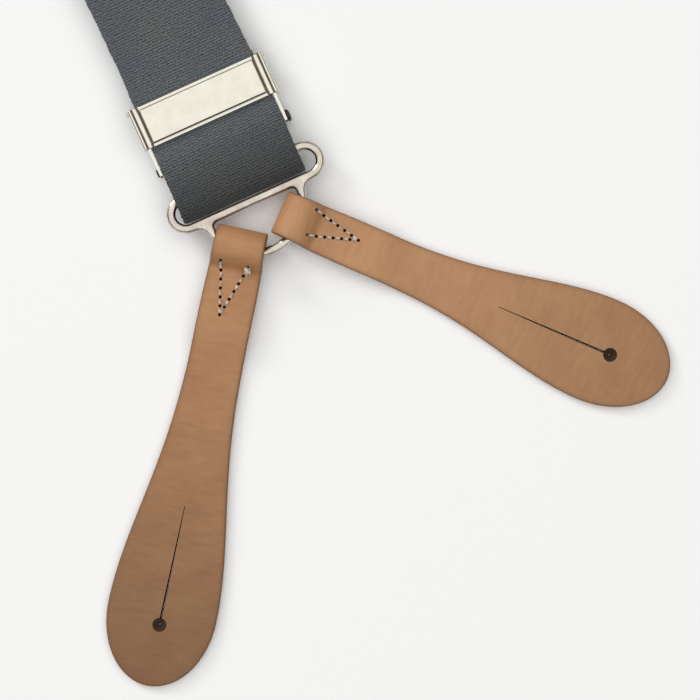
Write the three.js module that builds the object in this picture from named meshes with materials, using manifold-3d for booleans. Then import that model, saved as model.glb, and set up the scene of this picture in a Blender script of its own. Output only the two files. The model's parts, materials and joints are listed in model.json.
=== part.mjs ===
// Button-tab suspenders laid flat on a surface: two front straps, each with a slide adjuster, a cast
// ring and two leather tabs, joined by a leather yoke to one back strap with a ring and two tabs.
// Millimetres. +Z up, +Y from the front ends to the back end, origin under the middle of the object.
//
// Each strap end is drawn in its own frame: x across the strap, y along it away from the tabs, with
// y = 0 on the ring's lower bar, and z up from the surface.

import * as THREE from 'three';
import { mergeVertices } from 'three/addons/utils/BufferGeometryUtils.js';
import Module from 'manifold-3d';

// ---- Driving dimensions ----------------------------------------------------------------------

const gap = 0.3; // air left between pieces that touch

// webbing
const strapWidth = 38;
const strapThickness = 1.4;
const frontStrapLength = 690; // ring bar to the cut end inside the yoke
const backStrapLength = 165;
const strapSpread = 24.3; // degrees between each front strap and the centre line
const strapRunDown = 65; // length in which a strap comes down to the surface
const backHemLength = 40;
const hemStep = 14; // length in which the back strap comes down past its hem
const hemSpace = 1.15; // ring's bar to the end of a front strap's hem
const hemSeamInset = 1.4;
const boxSeamInset = 4;
const boxSeamDepth = 14;
const seamMargin = 3; // strap's edge to the end of a seam

// cast ring
const wire = 2.7;
const barSpacing = 8.7; // centre of the lower bar to the centre of the top bar
const slotEase = 0.4; // the slot's round ends have their centres this far inside the strap's edges
const loopInset = 4.5; // the D's sides start this far inside the centres of the slot's round ends
const filletRadius = 3;
const cornerRadius = 1.2; // inside the D
const ringShift = 1.0; // the ring lies this far off the strap's middle

// leather tabs
const leather = 2.2;
const headRound = 21.7; // widest place of the head to its tip
const loopToNeck = 3.6; // in which the loop widens to the neck
const neckLength = 30; // fold to the start of the taper
const rearLeg = 28; // length of the turned-back end
const slitLength = 34;
const slitWidth = 0.8;
const buttonHole = 4.1; // diameter
const holeFromTip = 18;
// loopShare: width of the loop as a share of the D's radius; place: how far round the D from its lowest point the loop sits; turn: which way the blade points
const longTab = { length: 135, loopShare: 1.02, neckWidth: 15.8, headWidth: 31.8, place: 41, turn: 36.4 };
const shortTab = { length: 122, loopShare: 0.9, neckWidth: 14.0, headWidth: 30.8, place: 46, turn: 42.4 };
const loopClearance = 0.5; // between the ring's wire and the leather that turns on it
const bladeDrop = 10; // length in which the blade comes down from its rear leg to the surface

// thread
const threadWidth = 0.7;
const threadHeight = 0.5;
const vStart = 1; // the V opens this far below the loop
const vLength = 13.1;
const vSpread = 7.4; // width of the V at its open end
const vLean = 2.6; // the point lies this far off the tab's middle

// slide adjuster
const barToPlate = 6.8; // crossbar to the plate's lower edge
const plateDepth = 12.4;
const plateSheet = 0.7;
const panelLip = 1; // flat sheet left above and below the raised panel
const panelInset = 1.2; // panel's ends inside the strap's edges
const panelEdge = 0.3;
const panelRise = 0.6;
const fluteWidth = 0.5;
const fluteDepth = 0.35;
const fluteStart = 0.35; // beyond the panel's end
const fluteSpacing = 1.7;
const leverSheet = 0.8;
const leverInset = 0.8; // the lever's crosspiece starts this far inside the plate
const leverTrim = 2.4; // and is this much less deep
const kneeRadius = 1.2;
const kneeInset = 1.5;
const adjusterDip = 1.25; // the strap lies this much lower in the adjuster than over the ring
const adjusterTravel = 100;
const rivetShank = 1.2;
const rivetHead = 2.4;
const rivetHeadHeight = 0.4;
const rivetInset = 0.6; // below the plate's upper edge
const rivetEar = 1.3; // radius of the sheet round a rivet
const hemToBar = 7.3; // end of the hem to the crossbar that holds the sewn strap end
const barShaft = 2.2;
const barHead = 3.8;
const barHeadLength = 1.2;
const barLoop = 1.5; // inner radius of the webbing round the crossbar
const barRounding = 0.5;
const toothCount = 9;
const toothHeight = 0.5;
const toothRadius = 0.8;
const toothInset = 1; // edge of the lever's crosspiece to the middle of its teeth
const toothMargin = 2; // strap's edge to the row of teeth

// yoke
const yokeLeather = 2.0;
const yokeMargin = 3; // leather beyond the strap's edge
const yokeReach = 36; // leather along each front strap
const yokeTop = 44; // leather above the front straps' ends
const yokeCorner = 5;
const strapEndSpace = 4.7; // front strap's end corner to the centre line
const yokeStep = 18; // length in which a strap rises onto the yoke's back leather
const seamInset = 3.2;

// ---- Heights and places that follow from them ------------------------------------------------

const wireRadius = wire / 2;
const halfWidth = strapWidth / 2;
const halfWeb = strapThickness / 2;
const radians = Math.PI / 180;
const slotCentres = strapWidth - slotEase;
const loopRadius = slotCentres / 2 - loopInset; // centre line of the D
const loopWidth = (tab) => tab.loopShare * loopRadius;
// How far the D's bent wire strays, along the blade, between the two sides of a tab's loop.
const wireStray = (tab) => {
  const half = loopWidth(tab) / 2;
  const innerRadius = loopRadius - wireRadius;
  const sag = innerRadius - Math.sqrt(innerRadius ** 2 - half ** 2);
  return sag + half * Math.tan(Math.abs(tab.place - tab.turn) * radians);
};
const hollowRadius = wireRadius + Math.max(wireStray(longTab), wireStray(shortTab)) / 2 + loopClearance;
const foldRadius = hollowRadius + leather;
// From the middle of the D's wire back to the far side of a tab's fold.
const foldBack = (tab) => foldRadius + wireStray(tab) / 2;
// How far a fold's corner would stand above the centre of the D.
const foldRise = (tab) => foldBack(tab) * Math.cos(tab.turn * radians)
  + (loopWidth(tab) / 2) * Math.sin(tab.turn * radians)
  - loopRadius * Math.cos(tab.place * radians);
// The centre of the D lies this far below the lower bar, so that the folds clear the bar.
const loopDrop = wireRadius + gap + Math.max(foldRise(longTab), foldRise(shortTab));
const stackStart = 2 * foldRadius + leather / 2; // the blade lies on its rear leg from here
const neckStart = 2 * foldRadius + loopToNeck;
const vTop = stackStart + vStart;
const vApex = vTop + vLength;
const ringHeight = foldRadius; // the leather loops rest on the surface
const sewnLoopTop = 2 * (barLoop + strapThickness);
const frontLayer = Math.max(ringHeight + wireRadius, sewnLoopTop) + gap + halfWeb; // webbing's middle
const turnRadius = (frontLayer - halfWeb) / 2; // middle of the webbing as it turns round the ring
const turnEnd = wireRadius + 2 * gap; // the webbing's turn stops short of the lower bar
const turnCentre = turnEnd + turnRadius + halfWeb;
const slideLevel = frontLayer - adjusterDip;
const frontHemStart = barSpacing + wireRadius + hemSpace;
const barPlace = frontHemStart + hemToBar;
const plateStart = barPlace + barToPlate;
const plateEnd = plateStart + plateDepth;
const plateUnder = slideLevel + halfWeb + gap;
const armInner = halfWidth + gap;
const wallInner = armInner + leverSheet + gap;
const wallOuter = wallInner + plateSheet;
const panelWidth = strapWidth - 2 * panelInset;
const panelDepth = plateDepth - 2 * panelLip;
const rivetPlace = plateEnd - rivetInset;
const rivetLevel = plateUnder - gap - rivetEar;
const leverBase = slideLevel - halfWeb - gap - toothHeight - leverSheet;
const barHeight = barLoop + strapThickness;
const runDownStart = plateEnd + adjusterTravel;
const yokeLevel = yokeLeather + gap + halfWeb;
const strapEndOffset = strapEndSpace + halfWidth * Math.cos(strapSpread * radians);
const stackLevel = leather * 1.5 + gap; // middle of the blade where it lies on its rear leg

// ---- Materials -------------------------------------------------------------------------------

const finish = (color, roughness, metalness) => new THREE.MeshStandardMaterial({ color, roughness, metalness });
const webbingFinish = finish(0x4b5158, 0.9, 0);
const leatherFinish = finish(0xb58a65, 0.65, 0);
const nickelFinish = finish(0xd8d3c6, 0.25, 1);
const blackFinish = finish(0x141414, 0.45, 0);
const threadFinish = finish(0xe9e2d6, 0.8, 0);
const greyThreadFinish = finish(0x3c4147, 0.85, 0);

// ---- Solids ----------------------------------------------------------------------------------

const wasm = await Module();
wasm.setup();

function solid(geometry) {
  const bare = geometry.clone();
  bare.deleteAttribute('normal');
  bare.deleteAttribute('uv');
  const merged = mergeVertices(bare, 1e-4);
  return new wasm.Manifold(new wasm.Mesh({
    numProp: 3,
    vertProperties: new Float32Array(merged.attributes.position.array),
    triVerts: new Uint32Array(merged.index.array),
  }));
}

function surface(body) {
  const mesh = body.getMesh();
  const geometry = new THREE.BufferGeometry();
  geometry.setAttribute('position', new THREE.BufferAttribute(mesh.vertProperties, 3));
  geometry.setIndex(new THREE.BufferAttribute(mesh.triVerts, 1));
  return geometry;
}

const cut = (body, tools) => tools.reduce((left, tool) => left.subtract(tool), body);
const join = (bodies) => bodies.reduce((whole, body) => whole.add(body));

function piece(name, geometry, material, parent) {
  const mesh = new THREE.Mesh(geometry, material);
  mesh.name = name;
  parent.add(mesh);
  return mesh;
}

function block(width, depth, height, x, y, z) {
  return solid(new THREE.BoxGeometry(width, depth, height).translate(x, y, z));
}

// A closed outline in x and y, given a height from z = bottom.
function slab(outline, height, bottom) {
  const shape = new THREE.Shape(outline.map(([x, y]) => new THREE.Vector2(x, y)));
  const geometry = new THREE.ExtrudeGeometry(shape, { depth: height, bevelEnabled: false });
  return geometry.translate(0, 0, bottom);
}

// A closed outline in y and z, given a width across x that is centred on x = middle.
function sideProfile(outline, width, middle = 0) {
  const geometry = slab(outline, width, -width / 2);
  const turn = new THREE.Matrix4().makeBasis(
    new THREE.Vector3(0, 1, 0),
    new THREE.Vector3(0, 0, 1),
    new THREE.Vector3(1, 0, 0),
  );
  return geometry.applyMatrix4(turn).translate(middle, 0, 0);
}

// A round bar along x from a profile of [x, radius] points.
function turned(profile, y, z, segments = 20) {
  const points = profile.map(([x, radius]) => new THREE.Vector2(radius, x));
  const geometry = new THREE.LatheGeometry(points, segments);
  return geometry.rotateZ(-Math.PI / 2).translate(0, y, z);
}

function arc(centreX, centreY, radius, from, to, steps) {
  const points = [];
  for (let i = 0; i <= steps; i += 1) {
    const angle = THREE.MathUtils.degToRad(from + (to - from) * (i / steps));
    points.push([centreX + radius * Math.cos(angle), centreY + radius * Math.sin(angle)]);
  }
  return points;
}

// Smooth S-shaped descent or rise between two [y, z] points.
function ease(from, to, steps) {
  const points = [];
  for (let i = 1; i <= steps; i += 1) {
    const part = i / steps;
    const smooth = (1 - Math.cos(Math.PI * part)) / 2;
    points.push([from[0] + (to[0] - from[0]) * part, from[1] + (to[1] - from[1]) * smooth]);
  }
  return points;
}

// Moves every corner of a line sideways by the same distance, with mitred corners.
function offsetLine(line, distance, closed = false) {
  const count = line.length;
  const at = (i) => line[(i + count) % count];
  return line.map((point, i) => {
    const before = closed || i > 0 ? at(i - 1) : point;
    const after = closed || i < count - 1 ? at(i + 1) : point;
    const first = new THREE.Vector2(point[0] - before[0], point[1] - before[1]);
    const second = new THREE.Vector2(after[0] - point[0], after[1] - point[1]);
    const into = first.lengthSq() > 0 ? first.normalize() : second.clone().normalize();
    const out = second.lengthSq() > 0 ? second.normalize() : into.clone();
    const mid = into.clone().add(out).normalize();
    const reach = distance / Math.max(mid.dot(out), 0.3);
    return [point[0] - mid.y * reach, point[1] + mid.x * reach];
  });
}

// A band of even thickness that follows a middle line in y and z.
function band(line, thickness, width, middle = 0) {
  const upper = offsetLine(line, thickness / 2);
  const lower = offsetLine(line, -thickness / 2);
  return sideProfile([...upper, ...lower.reverse()], width, middle);
}

// Rounds each corner of a closed outline with an arc-like curve.
function rounded(outline, radius, steps = 4) {
  const points = [];
  outline.forEach((corner, i) => {
    const here = new THREE.Vector2(...corner);
    const before = new THREE.Vector2(...outline[(i + outline.length - 1) % outline.length]);
    const after = new THREE.Vector2(...outline[(i + 1) % outline.length]);
    const back = before.clone().sub(here);
    const ahead = after.clone().sub(here);
    const reach = Math.min(radius, back.length() / 2.2, ahead.length() / 2.2);
    const start = here.clone().add(back.setLength(reach));
    const end = here.clone().add(ahead.setLength(reach));
    const curve = new THREE.QuadraticBezierCurve(start, here, end);
    curve.getPoints(steps).forEach((p) => points.push([p.x, p.y]));
  });
  return points;
}

// ---- Webbing ---------------------------------------------------------------------------------

const turnRoundRing = arc(turnCentre, halfWeb + turnRadius, turnRadius, -90, -270, 12);

function seamBar(y, z, length) {
  return block(length, threadWidth, threadHeight, 0, y, z + threadHeight / 2);
}

function seamGroove(y, z, length) {
  return block(length + 2 * gap, threadWidth + 2 * gap, threadHeight, 0, y, z + threadHeight / 2);
}

const seamLength = strapWidth - 2 * seamMargin;
const frontSeamPlace = frontHemStart + hemSeamInset;
const hemLevel = strapThickness * 1.5 + gap; // middle of the hem lying on the rear layer
const backSeams = [backHemLength - boxSeamInset - boxSeamDepth, backHemLength - boxSeamInset];

// The hem lies on the rear layer, which turns round the crossbar, runs back to the ring, turns up
// round its top bar and becomes the front layer that goes through the adjuster to the yoke.
function frontStrapLine() {
  const round = arc(barPlace, barHeight, barLoop + halfWeb, 120, -90, 12);
  const yokeEdge = frontStrapLength - yokeReach - strapThickness;
  return [
    [frontHemStart, hemLevel],
    [frontSeamPlace + hemSeamInset, hemLevel],
    ...round,
    ...turnRoundRing,
    [barPlace, frontLayer],
    ...ease([barPlace, frontLayer], [plateStart - 1, slideLevel], 5),
    [runDownStart, slideLevel],
    ...ease([runDownStart, slideLevel], [runDownStart + strapRunDown, halfWeb], 8),
    [yokeEdge - yokeStep, halfWeb],
    ...ease([yokeEdge - yokeStep, halfWeb], [yokeEdge, yokeLevel], 6),
    [frontStrapLength, yokeLevel],
  ];
}

function backStrapLine() {
  const hemEnd = backHemLength + boxSeamInset;
  const yokeEdge = backStrapLength - yokeTop;
  const turnTop = turnCentre + turnRadius + halfWeb + gap;
  return [
    [backHemLength, halfWeb],
    ...turnRoundRing,
    ...ease([turnTop, frontLayer], [backSeams[0] - seamMargin, hemLevel], 7),
    [hemEnd, hemLevel],
    ...ease([hemEnd, hemLevel], [hemEnd + hemStep, halfWeb], 5),
    [yokeEdge - yokeStep / 2, halfWeb],
    ...ease([yokeEdge - yokeStep / 2, halfWeb], [yokeEdge + yokeStep / 2, yokeLevel], 6),
    [backStrapLength, yokeLevel],
  ];
}

function addFrontStrap(side, end) {
  const seamTop = hemLevel + halfWeb;
  const body = solid(band(frontStrapLine(), strapThickness, strapWidth));
  const groove = seamGroove(frontSeamPlace, seamTop - threadHeight, seamLength);
  const bar = seamBar(frontSeamPlace, seamTop - threadHeight + gap, seamLength);
  piece(`${side}_front_strap`, surface(cut(body, [groove])), webbingFinish, end);
  piece(`${side}_strap_end_stitching`, surface(bar), greyThreadFinish, end);
}

// Two rows across the hem with a stitch line along each edge, as one closed box of thread.
function addBackStrap(end) {
  const seamTop = hemLevel + halfWeb - threadHeight;
  const frame = (extra) => {
    const rows = backSeams.map((y) => block(
      seamLength + extra,
      threadWidth + extra,
      threadHeight,
      0,
      y,
      seamTop + threadHeight / 2,
    ));
    const depth = backSeams[1] - backSeams[0];
    const middle = (backSeams[0] + backSeams[1]) / 2;
    const place = (seamLength - threadWidth) / 2;
    const sides = [-place, place].map((x) => block(
      threadWidth + extra,
      depth,
      threadHeight,
      x,
      middle,
      seamTop + threadHeight / 2,
    ));
    return join([...rows, ...sides]);
  };
  const body = solid(band(backStrapLine(), strapThickness, strapWidth));
  piece('back_strap', surface(cut(body, [frame(2 * gap)])), webbingFinish, end);
  piece('back_strap_stitching', surface(frame(0).translate([0, 0, gap])), greyThreadFinish, end);
}

// ---- Cast ring -------------------------------------------------------------------------------

// Stadium-shaped slot for the webbing with a D loop below it, cast in one with filleted joins.
function ringGeometry() {
  const slotMiddle = barSpacing / 2;
  const slotOuter = slotMiddle + wireRadius;
  const slotInner = slotMiddle - wireRadius;
  const loopOuter = loopRadius + wireRadius;
  const loopInner = loopRadius - wireRadius;
  const halfSlot = slotCentres / 2;
  const filletY = -wireRadius - filletRadius;
  const filletX = Math.sqrt((loopOuter + filletRadius) ** 2 - (filletY + loopDrop) ** 2);
  const filletEnd = THREE.MathUtils.radToDeg(Math.atan2(filletY + loopDrop, filletX));
  const outline = [
    ...arc(halfSlot, slotMiddle, slotOuter, -90, 90, 10),
    ...arc(-halfSlot, slotMiddle, slotOuter, 90, 270, 10),
    ...arc(-filletX, filletY, filletRadius, 90, -filletEnd, 4),
    ...arc(0, -loopDrop, loopOuter, 180 - filletEnd, 360 + filletEnd, 18).slice(1, -1),
    ...arc(filletX, filletY, filletRadius, 180 + filletEnd, 90, 4),
  ];
  const slot = [
    ...arc(halfSlot, slotMiddle, slotInner, -90, 90, 8),
    ...arc(-halfSlot, slotMiddle, slotInner, 90, 270, 8),
  ];
  const cornerY = -wireRadius - cornerRadius;
  const cornerX = Math.sqrt((loopInner - cornerRadius) ** 2 - (cornerY + loopDrop) ** 2);
  const cornerEnd = THREE.MathUtils.radToDeg(Math.atan2(cornerY + loopDrop, cornerX));
  const opening = [
    ...arc(cornerX, cornerY, cornerRadius, 90, cornerEnd, 3),
    ...arc(0, -loopDrop, loopInner, cornerEnd, -180 - cornerEnd, 18).slice(1, -1),
    ...arc(-cornerX, cornerY, cornerRadius, 180 - cornerEnd, 90, 3),
  ];
  const toPath = (points) => points.map(([x, y]) => new THREE.Vector2(x, y));
  const shape = new THREE.Shape(toPath(outline));
  shape.holes.push(new THREE.Path(toPath(slot)), new THREE.Path(toPath(opening)));
  const bevel = wireRadius * 0.9;
  const geometry = new THREE.ExtrudeGeometry(shape, {
    depth: wire - 2 * bevel,
    bevelEnabled: true,
    bevelThickness: bevel,
    bevelSize: bevel,
    bevelOffset: -bevel,
    bevelSegments: 2,
  });
  return geometry.translate(0, 0, bevel - wireRadius);
}

function addRing(name, shift, end) {
  const ring = piece(name, surface(solid(ringGeometry())), nickelFinish, end);
  ring.position.set(shift, 0, ringHeight);
}

// ---- Leather tabs ----------------------------------------------------------------------------

// From the end of the rear leg, round the ring's wire, down onto the leg, then down to the surface.
function tabLine(tab) {
  const middle = hollowRadius + leather / 2;
  return [
    [rearLeg, leather / 2],
    ...arc(foldRadius, foldRadius, middle, -90, -340, 16),
    [stackStart - leather / 2, stackLevel + leather / 3],
    [stackStart, stackLevel],
    [rearLeg + 1, stackLevel],
    ...ease([rearLeg + 1, stackLevel], [rearLeg + 1 + bladeDrop, leather / 2], 6),
    [tab.length, leather / 2],
  ];
}

// The tab's outline: an even loop, a neck, a taper that swells into the head, and a round end.
function tabOutline(tab) {
  const widest = tab.length - headRound;
  const halfLoop = loopWidth(tab) / 2;
  const edge = [[halfLoop, 0], [halfLoop, 2 * foldRadius], [tab.neckWidth / 2, neckStart]];
  const steps = 14;
  for (let i = 0; i <= steps; i += 1) {
    const swell = Math.sin((Math.PI / 2) * (i / steps) ** 1.35) ** 2;
    const width = tab.neckWidth + (tab.headWidth - tab.neckWidth) * swell;
    edge.push([width / 2, neckLength + (widest - neckLength) * (i / steps)]);
  }
  const head = arc(0, 0, 1, 0, 180, 20).map(([x, y]) => [(x * tab.headWidth) / 2, widest + y * headRound]);
  const mirrored = edge.map(([x, y]) => [-x, y]).reverse();
  return [...edge.slice(0, -1), ...head, ...mirrored.slice(1)];
}

// Two straight bars that meet in a point, as thick as given.
function vBars(tab, lean, width, height, bottom) {
  const apex = new THREE.Vector2(-lean * vLean, vApex);
  const bars = [-1, 1].map((half) => {
    const top = new THREE.Vector2((half * vSpread) / 2, vTop);
    const run = apex.clone().sub(top);
    const length = run.length() + width;
    const geometry = new THREE.BoxGeometry(width, length, height);
    geometry.rotateZ(Math.atan2(-run.x, run.y));
    const middle = top.add(apex).multiplyScalar(0.5);
    return solid(geometry.translate(middle.x, middle.y, bottom + height / 2));
  });
  return join(bars);
}

// half is +1 or -1: the side of the D the tab hangs from. shift is the ring's own place across the strap.
// lean is +1 or -1: the side to which the V's point leans.
function addTab(name, tab, half, lean, shift, parent) {
  const top = stackLevel + leather / 2;
  const strip = solid(band(tabLine(tab), leather, tab.headWidth + 4));
  const blank = solid(slab(tabOutline(tab), 4 * foldRadius, -foldRadius));
  const holePlace = tab.length - holeFromTip;
  const slit = block(slitWidth, slitLength, 4 * leather, 0, holePlace - slitLength / 2, leather / 2);
  const holeShape = new THREE.CylinderGeometry(buttonHole / 2, buttonHole / 2, 4 * leather, 20);
  const hole = solid(holeShape.rotateX(Math.PI / 2).translate(0, holePlace, leather / 2));
  const groove = vBars(tab, lean, threadWidth + 2 * gap, threadHeight + gap, top - threadHeight);
  const blade = cut(strip.intersect(blank), [slit, hole, groove]);
  const thread = vBars(tab, lean, threadWidth, threadHeight, top - threadHeight + gap);

  const wireX = shift + half * loopRadius * Math.sin(tab.place * radians);
  const wireY = -loopDrop - loopRadius * Math.cos(tab.place * radians);
  const back = foldBack(tab);
  const holder = new THREE.Group();
  holder.position.x = wireX - half * back * Math.sin(tab.turn * radians);
  holder.position.y = wireY + back * Math.cos(tab.turn * radians);
  holder.rotation.z = Math.PI + half * tab.turn * radians;
  piece(`${name}_tab`, surface(blade), leatherFinish, holder);
  piece(`${name}_tab_thread`, surface(thread), threadFinish, holder);
  parent.add(holder);
}

// ---- Slide adjuster --------------------------------------------------------------------------

// A sheet ear: the outline of discs at two places joined by straight sides, in y and z.
function linkOutline(from, to, fromRadius, toRadius) {
  const angle = THREE.MathUtils.radToDeg(Math.atan2(to[1] - from[1], to[0] - from[0]));
  return [
    ...arc(to[0], to[1], toRadius, angle - 90, angle + 90, 8),
    ...arc(from[0], from[1], fromRadius, angle + 90, angle + 270, 8),
  ];
}

function roundBore(radius, y, z, from, to) {
  return solid(turned([[from, 0], [from, radius], [to, radius], [to, 0]], y, z));
}

// The pressed front plate: a raised panel, two flutes at each end and walls bent down past the strap.
function addPlate(side, end) {
  const middle = (plateStart + plateEnd) / 2;
  const wallDepth = plateUnder - rivetLevel + rivetEar;
  const sheet = block(2 * wallOuter, plateDepth, plateSheet, 0, middle, plateUnder + plateSheet / 2);
  const panelShape = new THREE.Shape([
    new THREE.Vector2(-panelWidth / 2, -panelDepth / 2),
    new THREE.Vector2(panelWidth / 2, -panelDepth / 2),
    new THREE.Vector2(panelWidth / 2, panelDepth / 2),
    new THREE.Vector2(-panelWidth / 2, panelDepth / 2),
  ]);
  const panel = solid(new THREE.ExtrudeGeometry(panelShape, {
    depth: plateSheet / 2 + panelRise - panelEdge,
    bevelEnabled: true,
    bevelThickness: panelEdge,
    bevelSize: panelEdge,
    bevelOffset: -panelEdge,
    bevelSegments: 1,
  }).translate(0, middle, plateUnder + plateSheet / 2));
  const walls = [-1, 1].map((half) => block(
    plateSheet,
    plateDepth,
    wallDepth,
    half * (wallOuter - plateSheet / 2),
    middle,
    plateUnder - wallDepth / 2 + plateSheet / 4,
  ));
  const flutes = [];
  for (const half of [-1, 1]) {
    for (const row of [0, 1]) {
      const place = half * (panelWidth / 2 + fluteStart + row * fluteSpacing);
      flutes.push(block(fluteWidth, plateDepth + 2, 2 * fluteDepth, place, middle, plateUnder + plateSheet));
    }
  }
  const bores = [-1, 1].map((half) => roundBore(
    rivetShank / 2 + gap,
    rivetPlace,
    rivetLevel,
    half * wallOuter - 2 * plateSheet,
    half * wallOuter + 2 * plateSheet,
  ));
  const plate = cut(join([sheet, panel, ...walls]), [...flutes, ...bores]);
  piece(`${side}_adjuster_plate`, surface(plate), nickelFinish, end);
}

// The lever behind the strap: a toothed crosspiece between two side arms that reach to the crossbar.
function addLever(side, end) {
  const baseStart = plateStart + leverInset;
  const baseDepth = plateDepth - leverTrim;
  const base = block(
    2 * armInner + leverSheet,
    baseDepth,
    leverSheet,
    0,
    baseStart + baseDepth / 2,
    leverBase + leverSheet / 2,
  );
  const bar = [barPlace, barHeight];
  const knee = [baseStart + kneeInset, leverBase + kneeRadius];
  const rivet = [rivetPlace, rivetLevel];
  const arms = [-1, 1].flatMap((half) => {
    const place = half * (armInner + leverSheet / 2);
    return [
      solid(sideProfile(linkOutline(bar, knee, barHead / 2, kneeRadius), leverSheet, place)),
      solid(sideProfile(linkOutline(knee, rivet, kneeRadius, rivetEar), leverSheet, place)),
    ];
  });
  const teeth = [];
  for (let i = 0; i < toothCount; i += 1) {
    const place = ((i + 0.5) / toothCount - 0.5) * (strapWidth - 2 * toothMargin);
    const tooth = new THREE.ConeGeometry(toothRadius, toothHeight + 0.2, 4);
    tooth.rotateX(Math.PI / 2);
    teeth.push(solid(tooth.translate(place, baseStart + toothInset, leverBase + leverSheet + toothHeight / 2 - 0.1)));
  }
  const reach = armInner + leverSheet + 1;
  const bores = [
    roundBore(barShaft / 2 + gap, barPlace, barHeight, -reach, reach),
    roundBore(rivetShank / 2 + gap, rivetPlace, rivetLevel, -reach, reach),
  ];
  piece(`${side}_adjuster_lever`, surface(cut(join([base, ...arms, ...teeth]), bores)), nickelFinish, end);
}

// The black crossbar that the strap's sewn end turns round, with a round head outside each arm.
function addCrossbar(side, end) {
  const headStart = armInner + leverSheet + gap;
  const headEnd = headStart + barHeadLength;
  const head = barHead / 2;
  const profile = [
    [-headEnd, 0],
    [-headEnd, head * 0.6],
    [-headEnd + barRounding, head],
    [-headStart, head],
    [-headStart, barShaft / 2],
    [headStart, barShaft / 2],
    [headStart, head],
    [headEnd - barRounding, head],
    [headEnd, head * 0.6],
    [headEnd, 0],
  ];
  const bar = surface(solid(turned(profile, barPlace, barHeight, 20)));
  piece(`${side}_adjuster_crossbar`, bar, blackFinish, end);
}

function addRivets(side, end) {
  const inner = armInner + 0.05;
  const headStart = wallOuter + gap;
  const profile = [
    [inner, 0],
    [inner, rivetShank / 2],
    [headStart, rivetShank / 2],
    [headStart, rivetHead / 2],
    [headStart + rivetHeadHeight, rivetHead / 3],
    [headStart + rivetHeadHeight, 0],
  ];
  for (const [half, word] of [[-1, 'a'], [1, 'b']]) {
    const ordered = half > 0 ? profile : profile.map(([x, radius]) => [-x, radius]).reverse();
    const rivet = surface(solid(turned(ordered, rivetPlace, rivetLevel, 16)));
    piece(`${side}_adjuster_rivet_${word}`, rivet, nickelFinish, end);
  }
}

// ---- Yoke ------------------------------------------------------------------------------------

// A shield that covers the ends of all three straps, drawn round the front straps' meeting place,
// or the line of its seam when it is inset.
function yokeOutline(inset = 0) {
  const spread = strapSpread * radians;
  const along = [Math.sin(spread), -Math.cos(spread)];
  const across = [Math.cos(spread), Math.sin(spread)];
  const reach = halfWidth + yokeMargin;
  const low = (side) => [
    strapEndOffset + yokeReach * along[0] + side * reach * across[0],
    yokeReach * along[1] + side * reach * across[1],
  ];
  const half = [[reach, yokeTop], [reach, yokeTop * 0.45], low(1), low(-1)];
  const notch = [[0, -yokeReach * 0.62]];
  const other = half.map(([x, y]) => [-x, y]).reverse();
  const sharp = offsetLine([...half, ...notch, ...other], -inset, true);
  return rounded(sharp, yokeCorner - inset / 2);
}

function addYoke(parent) {
  const outline = yokeOutline();
  const outerBottom = yokeLevel + halfWeb + gap;
  const outerTop = outerBottom + yokeLeather;
  const seam = (extra, height, bottom) => {
    const wide = slab(yokeOutline(seamInset - threadWidth / 2 - extra), height, bottom);
    const narrow = slab(yokeOutline(seamInset + threadWidth / 2 + extra), 3 * height, bottom - height);
    return solid(wide).subtract(solid(narrow));
  };
  const outer = solid(slab(outline, yokeLeather, outerBottom));
  const groove = seam(gap, threadHeight + gap, outerTop - threadHeight);
  piece('yoke_backing', surface(solid(slab(outline, yokeLeather, 0))), leatherFinish, parent);
  piece('yoke_front', surface(outer.subtract(groove)), leatherFinish, parent);
  const thread = seam(0, threadHeight, outerTop - threadHeight + gap);
  piece('yoke_stitching', surface(thread), threadFinish, parent);
}

// ---- Assembly --------------------------------------------------------------------------------

// The front straps' ends meet at the yoke's middle; each end's frame lies one strap length away.
function frontEnd(side) {
  const half = side === 'right' ? 1 : -1;
  const spread = strapSpread * radians;
  const end = new THREE.Group();
  end.position.x = half * (strapEndOffset + frontStrapLength * Math.sin(spread));
  end.position.y = -frontStrapLength * Math.cos(spread);
  end.rotation.z = half * spread;
  addFrontStrap(side, end);
  addPlate(side, end);
  addLever(side, end);
  addCrossbar(side, end);
  addRivets(side, end);
  addRing(`${side}_ring`, half * ringShift, end);
  addTab(`${side}_inner`, longTab, -half, -half, half * ringShift, end);
  addTab(`${side}_outer`, shortTab, half, half, half * ringShift, end);
  return end;
}

function backEnd() {
  const end = new THREE.Group();
  const strapTop = halfWidth * Math.sin(strapSpread * radians) + 4 * gap;
  end.position.y = strapTop + backStrapLength;
  end.rotation.z = Math.PI;
  addBackStrap(end);
  addRing('back_ring', 0, end);
  addTab('back_left', shortTab, 1, 1, 0, end);
  addTab('back_right', shortTab, -1, -1, 0, end);
  return end;
}

const suspenders = new THREE.Group();
suspenders.add(frontEnd('right'), frontEnd('left'), backEnd());
addYoke(suspenders);
suspenders.updateMatrixWorld(true);
const box = new THREE.Box3().setFromObject(suspenders, true);
suspenders.position.y = -(box.min.y + box.max.y) / 2;

export default suspenders;
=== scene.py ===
import json
import math

import bmesh
import bpy
import numpy as np
from mathutils import Matrix, Vector


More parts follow.
